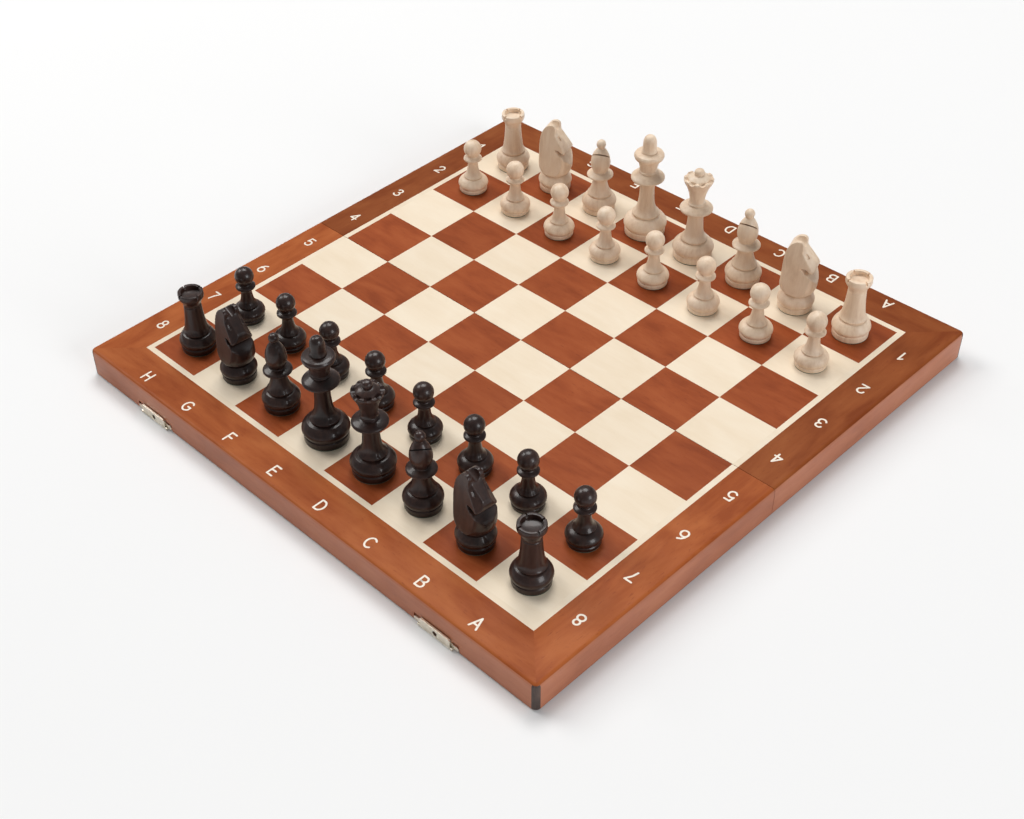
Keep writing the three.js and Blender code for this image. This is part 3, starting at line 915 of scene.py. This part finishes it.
# The men: profiles from the foot upwards; a 1 marks a point on a curve
profiles = {
    "pawn": [
        (11.3, 0), (11.8, 0.6), (11.9, 2.9), (11.2, 3.5), (11.8, 4.1),
        (12.6, 5.6, 1), (12.8, 7.2, 1), (12.2, 9.0, 1), (10.8, 10.8, 1), (9.2, 12.0), (7.3, 12.4),
        (7.9, 12.9), (8.0, 13.8), (7.3, 14.5), (6.0, 16.4, 1), (5.0, 19.5, 1), (4.5, 23, 1), (4.3, 26, 1),
        (4.7, 28.1),
        (6.9, 29.3), (7.8, 30.1), (7.8, 31.2), (7.0, 31.9), (5.3, 32.7), (4.8, 33.3),
        (5.8, 35.0, 1), (7.1, 37.5, 1), (7.5, 40, 1), (7.0, 42.7, 1), (5.4, 45.2, 1), (3.0, 46.9, 1),
        (0, 47.5),
    ],
    "rook": [
        (13.0, 0), (13.5, 0.7), (13.6, 4.6), (12.8, 5.2), (13.5, 5.9),
        (14.3, 7.4, 1), (14.5, 9.0, 1), (13.9, 11, 1), (12.6, 13.2, 1), (11.2, 14.8), (9.3, 15.3),
        (10.2, 15.9), (10.4, 17.0), (9.7, 17.9), (8.8, 20.5, 1), (8.1, 25, 1), (7.4, 31, 1), (7.0, 37, 1),
        (6.85, 40.2),
        (6.5, 40.5), (6.85, 40.9), (6.9, 42.6, 1), (7.5, 44.4, 1), (8.7, 46.4, 1), (9.7, 48.2),
        (9.9, 49), (9.7, 52.4), (9.3, 52.8), (7.4, 52.8), (7.1, 52.5), (7.0, 49.2), (0, 49.0),
    ],
    "bishop": [
        (12.9, 0), (13.4, 0.7), (13.5, 4.5), (12.7, 5.1), (13.4, 5.8),
        (14.2, 7.3, 1), (14.4, 8.9, 1), (13.8, 10.9, 1), (12.4, 13.0, 1), (10.9, 14.6), (9.0, 15.1),
        (9.9, 15.7), (10.1, 16.8), (9.3, 17.7), (7.9, 20.5, 1), (6.6, 24.5, 1), (5.8, 28.5, 1),
        (5.6, 30.6, 1), (6.2, 31.7),
        (9.7, 32.6), (10.9, 33.4), (10.9, 34.4), (9.9, 35.3, 1), (7.4, 36.3), (6.1, 36.7), (5.8, 37.3),
        (6.7, 39.4, 1), (7.8, 42.8, 1), (8.1, 46, 1), (7.6, 50, 1), (6.2, 54, 1), (4.2, 57.4, 1),
        (2.6, 59.0),
        (3.4, 60.3, 1), (3.9, 62.2, 1), (3.5, 64.2, 1), (2.1, 65.8, 1), (0, 66.4),
    ],
    "queen": [
        (14.9, 0), (15.5, 0.7), (15.6, 4.9), (14.8, 5.6), (15.4, 6.3),
        (16.3, 7.9, 1), (16.6, 9.5, 1), (15.9, 11.6, 1), (14.3, 13.9, 1), (12.4, 15.6), (9.6, 16.1),
        (10.5, 16.8), (10.7, 18.0), (9.9, 19.0), (8.2, 21.4, 1), (7.1, 25, 1), (6.5, 30, 1), (6.2, 35, 1),
        (6.2, 39, 1),
        (6.7, 41.8), (9.0, 43.1, 1), (12.2, 44.0), (13.1, 44.8), (13.1, 45.9), (12.0, 47.0, 1),
        (9.4, 48.1, 1), (7.0, 48.8),
        (6.2, 49.2), (6.9, 49.8), (7.0, 50.6), (6.2, 51.2), (5.9, 53, 1), (6.3, 56.5, 1), (7.3, 61, 1),
        (9.0, 65.5, 1),
        (10.7, 68.8, 1), (11.5, 70.6), (11.7, 71.4), (11.7, 72.6), (11.2, 73.1), (9.8, 73.1), (9.3, 72.6),
        (7.6, 74.2, 1), (5.6, 75.5, 1), (3.6, 76.1), (3.9, 77.0, 1), (4.0, 78.3, 1), (3.4, 79.8, 1),
        (2.0, 80.7, 1), (0, 81),
    ],
    "king": [
        (15.9, 0), (16.5, 0.7), (16.6, 5.2), (15.8, 5.9), (16.4, 6.7),
        (17.3, 8.4, 1), (17.6, 10.2, 1), (16.9, 12.6, 1), (15.2, 15, 1), (13.2, 16.9), (10.2, 17.5),
        (11.1, 18.2), (11.3, 19.6), (10.4, 20.6), (8.5, 23.2, 1), (7.2, 27, 1), (6.4, 32, 1),
        (6.0, 38, 1), (6.0, 44, 1),
        (6.5, 48.4), (8.9, 50.1, 1), (12.6, 51.2), (13.6, 52.1), (13.6, 53.2), (12.5, 54.5, 1),
        (9.9, 56.0, 1), (8.0, 57.0),
        (6.9, 57.4), (7.6, 58.0), (7.7, 58.9), (6.9, 59.5), (7.1, 61.5, 1), (7.8, 65, 1), (8.7, 68.4),
        (9.4, 69.0),
        (11.0, 70.2, 1), (12.0, 72.2, 1), (12.0, 73.6, 1), (11.2, 75.0), (9, 75.6, 1), (6.2, 75.9),
        (0, 75.9),
    ],
    "finial": [
        (6.0, 75.95), (6.3, 76.6), (6.0, 77.6), (5.6, 79.5, 1), (5.5, 83, 1), (5.2, 86.4, 1), (4.2, 89, 1),
        (2.4, 90.6, 1), (0, 90.98),
    ],
    "knight": [
        (12.7, 0), (13.2, 0.7), (13.3, 4.4), (12.5, 5.0), (13.2, 5.7), (14.0, 7.2, 1), (14.2, 8.8, 1),
        (13.6, 10.8, 1), (12.2, 13, 1), (10.8, 14.7), (9.6, 15.2), (9.4, 17.6), (0, 18),
    ],
}

carving = {
    "slots": 4, "slotWidth": 1.5, "slotDepth": 2.4,  # rook
    "scallops": 8, "scallopRadius": 3.0,  # queen
    "slitWidth": 1.0, "slitTilt": 42, "slitHeight": 50.5,  # bishop
}


def rookSlots():
    half = carving["slotWidth"] / 2
    tools = []
    for i in range(carving["slots"] // 2):
        slot = slab("slot", rectangle(-14, 14, -half, half), 52.8 - carving["slotDepth"], 60)
        slot.transform(Matrix.Rotation(math.pi / 2 * i, 4, "Z"))
        tools.append(slot)
    return tools


def queenScallops():
    tools = []
    for i in range(carving["scallops"]):
        scallop = longSlab("scallop", circle(0, 74.3, carving["scallopRadius"], 28), 8.4, 14)
        scallop.transform(Matrix.Rotation(2 * math.pi * (i + 0.5) / carving["scallops"], 4, "Z"))
        tools.append(scallop)
    return tools


def bishopSlit():
    half = carving["slitWidth"] / 2
    slit = slab("slit", rectangle(0.6, 14, -12, 12), -half, half)
    slit.transform(Matrix.Translation(Vector((0, 0, carving["slitHeight"])) * mm)
                   @ Matrix.Rotation(-math.radians(carving["slitTilt"]), 4, "Y"))
    return [slit]


# Side view of the knight's head and neck, facing +X, from the foot of the chest round by the face
horse = {
    "outline": [
        (11.6, 16.8), (12.9, 18.2, 1), (14.2, 21.6, 1), (14.5, 25.4, 1), (13.6, 29.4, 1), (11.4, 33.2, 1),
        (8.6, 36.2, 1),
        (5.4, 37.0), (1.7, 41.4), (6.2, 41.3), (9.2, 39.6, 1), (11.2, 38.9), (12.4, 39.8, 1),
        (13.0, 42.0, 1),
        (12.8, 44.6, 1), (11.7, 47.0), (2.9, 56.0), (1.9, 57.6, 1), (1.6, 60.2, 1), (0.4, 62.0, 1),
        (-1.6, 62.6, 1),
        (-4.6, 61.8, 1), (-8.0, 58.8, 1), (-10.4, 54, 1), (-11.5, 47, 1), (-11.9, 38, 1), (-12.3, 30, 1),
        (-12.8, 24, 1), (-12.7, 20, 1), (-11.6, 16.8),
    ],
    "neckHalf": 11, "taper": 0.13,  # half width of the flat sides, and how fast they close upwards
    "blank": [
        (11.6, 16.7), (12.9, 18, 1), (14.3, 22.5, 1), (14.5, 28, 1), (14.4, 36, 1), (14.3, 44, 1),
        (13.3, 52, 1), (11.4, 58, 1), (8.5, 64),
    ],
    "cheek": 0.94, "brow": 0.79, "face": 32.4,  # slopes of the cheeks to nose and brow, and their distance
    "earGap": 3.3, "detail": 0.42,
}


def knightHead():
    low, high = 15, 66
    foot = horse["neckHalf"] + horse["taper"] * (25 - low)
    crown = horse["neckHalf"] - horse["taper"] * (high - 25)
    flats = longSlab("flats", [(-foot, low), (foot, low), (crown, high), (-crown, high)], -20, 20)
    blank = turned("blank", horse["blank"])
    head = uprightSlab("head", flowing(horse["outline"], 6), -16, 16)
    head = carve(head, [flats, blank], "INTERSECT", "MANIFOLD")
    tools = []
    for sign in (-1, 1):
        slope = Vector((horse["cheek"], sign, horse["brow"])).normalized()
        cheek = slab("cheek", rectangle(-60, 60, -60, 60), 0, 30)
        cheek.transform(Matrix.Translation(slope * horse["face"] * mm)
                        @ Vector((0, 0, 1)).rotation_difference(slope).to_matrix().to_4x4())
        front = slab("front", rectangle(1.9, 60, -60, 60), 30, 90)
        tools.append(carve(cheek, [front], "INTERSECT", "MANIFOLD"))
        # the eye, a short slanted cut under the brow
        eye = uprightSlab("eye", roundedRectangle(-2.3, 2.3, -0.6, 0.6, 0.55, 4), -1.3, 1.3)
        eye.transform(Matrix.Translation(Vector((5.4, sign * 5.7, 51.2)) * mm) @ Matrix.Rotation(0.95, 4, "Y"))
        tools.append(eye)
    # the hollow between the ears, running down to the forehead
    gap = turned("hollow", [(horse["earGap"], -9), (horse["earGap"], 12)], 40)
    gap.transform(Matrix.Translation(Vector((0, 0, 60.9)) * mm) @ Matrix.Rotation(math.pi / 2 + 0.34, 4, "Y"))
    tools.append(gap)
    piece = loose("head", carve(head, tools, solver="MANIFOLD"))
    remesh = piece.modifiers.new("carved", "REMESH")
    remesh.mode = "VOXEL"
    remesh.voxel_size = horse["detail"] * mm
    smooth = piece.modifiers.new("sanded", "SMOOTH")
    smooth.factor = 0.5
    smooth.iterations = 2
    return settle(piece)


def standOn(kind):
    mesh = turned(kind, profiles[kind])
    tools = {"rook": rookSlots, "queen": queenScallops, "bishop": bishopSlit}
    if kind == "knight":
        mesh = carve(mesh, [knightHead()], "UNION")
    elif kind in tools:
        mesh = carve(mesh, tools[kind]())
    return crisp(mesh)


shapes = {kind: standOn(kind) for kind in ("pawn", "rook", "bishop", "queen", "king", "knight", "finial")}
print("men turned and carved")

headings = {"white": 18, "black": -5}  # knights, degrees from +X
slitTowards = {"white_bishop_c": -75, "white_bishop_f": -60, "black_bishop_c": -40, "black_bishop_f": 120}
footFelt = {"inset": 0.35, "thickness": 0.75, "below": 0.27}
feltShapes = {}
for kind, profile in profiles.items():
    radius = profile[1][0] - footFelt["inset"]
    low = -footFelt["below"]
    rings = [(radius, low), (radius + 0.1, -0.05), (radius, low + footFelt["thickness"])]
    feltShapes[kind] = crisp(turned("felt", rings))


# The middle of the square that a man stands on; a knight's box reaches past its base
def squareUnder(low, high):
    size = case["square"]
    return [(math.floor(middle / size) + 0.5) * size for middle in ((low.x + high.x) / 2, (low.y + high.y) / 2)]


for side, finish, slot in (("white", whiteWood, "boxwood"), ("black", blackWood, "ebonised")):
    copies = {}
    for kind, mesh in shapes.items():
        copies[kind] = mesh.copy()
        copies[kind].materials.append(finish)
    for name in [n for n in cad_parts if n.startswith(side)]:
        words = name.split("_")
        kind = words[1]
        if kind not in shapes or name.endswith("finial"):
            continue
        low, high = boxOf(name)
        spin = chance.uniform(0, 2 * math.pi)
        if kind == "knight":
            spin = math.radians(headings[side])
        if name in slitTowards:
            spin = math.radians(slitTowards[name])
        place = (*squareUnder(low, high), low.z)
        own = side + kind.capitalize() + "".join(words[2:]).upper()
        fit(own, copies[kind], finish, name, [name], place, spin)
        if kind == "king":
            fit(own + "Finial", copies["finial"], finish, name, [name + "_finial"], place, spin)
        fit(own + "Felt", feltShapes[kind], felt, name, (), place, spin)
print("men set up")


# Floor, room and camera
studio = {"floorHalf": 4000, "floorTone": 0.825, "floorGlow": 0.04, "roomStrength": 0.25}

half = studio["floorHalf"]
floorMesh = slab("floor", rectangle(-half, half, -half, half), -20, 0)
floorFinish, tree, shader = newFinish("pale floor", Roughness=0.9, Specular_IOR_Level=0.1)
grey = studio["floorTone"]
cloud = grainAt(tree, put(tree, "TexCoord").outputs["Object"], 3, 2)
tone = blend(tree, between(tree, cloud, 0.3, 0.7), rgb((grey,) * 3), rgb((grey + 0.004,) * 3))
tree.links.new(tone, shader.inputs["Base Color"])
shader.inputs["Emission Color"].default_value = (1, 1, 1, 1)
shader.inputs["Emission Strength"].default_value = studio["floorGlow"]
floorMesh.materials.append(floorFinish)
floor = loose("floor", floorMesh)

scene = bpy.context.scene
scene.world = bpy.data.worlds.new("room")
scene.world.use_nodes = True
backdrop = scene.world.node_tree.nodes["Background"]
backdrop.inputs["Color"].default_value = (0.97, 0.985, 1, 1)
backdrop.inputs["Strength"].default_value = studio["roomStrength"]

view = {
    "azimuth": 49.1185, "elevation": 41.1058, "roll": -3.7051,
    "aim": (-0.00515, -0.11595, 0.02475), "distance": 1.10659, "lens": 53.43, "shift": 0.1035,
}
azimuth = math.radians(view["azimuth"])
elevation = math.radians(view["elevation"])
roll = math.radians(view["roll"])
right = Vector((math.cos(azimuth), math.sin(azimuth), 0))
behind = Vector((-math.sin(azimuth), math.cos(azimuth), 0))
back = -behind * math.cos(elevation) + Vector((0, 0, math.sin(elevation)))
up = back.cross(right)
rightward = right * math.cos(roll) + up * math.sin(roll)
upward = up * math.cos(roll) - right * math.sin(roll)
cameraData = bpy.data.cameras.new("camera")
cameraData.lens = view["lens"]
cameraData.sensor_width = 36
cameraData.shift_x = view["shift"]
cameraData.clip_start = 0.05
camera = bpy.data.objects.new("camera", cameraData)
scene.collection.objects.link(camera)
turn = Matrix((rightward, upward, back)).transposed().to_4x4()
camera.matrix_world = Matrix.Translation(Vector(view["aim"]) + back * view["distance"]) @ turn
scene.camera = camera

# Lamps: each stands so far to the right of, behind and above the board, in metres
lamps = {
    "key": {"power": 220, "size": 3.3, "place": (-4.2, 3.0, 4.9), "tint": (1, 0.985, 0.965)},
    "top": {"power": 215, "size": 3, "place": (0.3, 2.8, 5.7), "tint": (1, 0.995, 0.985)},
    "fill": {"power": 105, "size": 2.2, "place": (3.2, -3.6, 1.8), "tint": (0.96, 0.98, 1)},
}
for name, lamp in lamps.items():
    light = bpy.data.lights.new(name, "AREA")
    light.energy = lamp["power"]
    light.size = lamp["size"]
    light.color = lamp["tint"]
    holder = bpy.data.objects.new(name, light)
    scene.collection.objects.link(holder)
    rightBy, behindBy, height = lamp["place"]
    holder.location = right * rightBy + behind * behindBy + Vector((0, 0, height))
    holder.rotation_euler = (Vector((0, 0, 0.02)) - holder.location).to_track_quat("-Z", "Y").to_euler()
scene.view_settings.view_transform = "Standard"
print("studio lit")
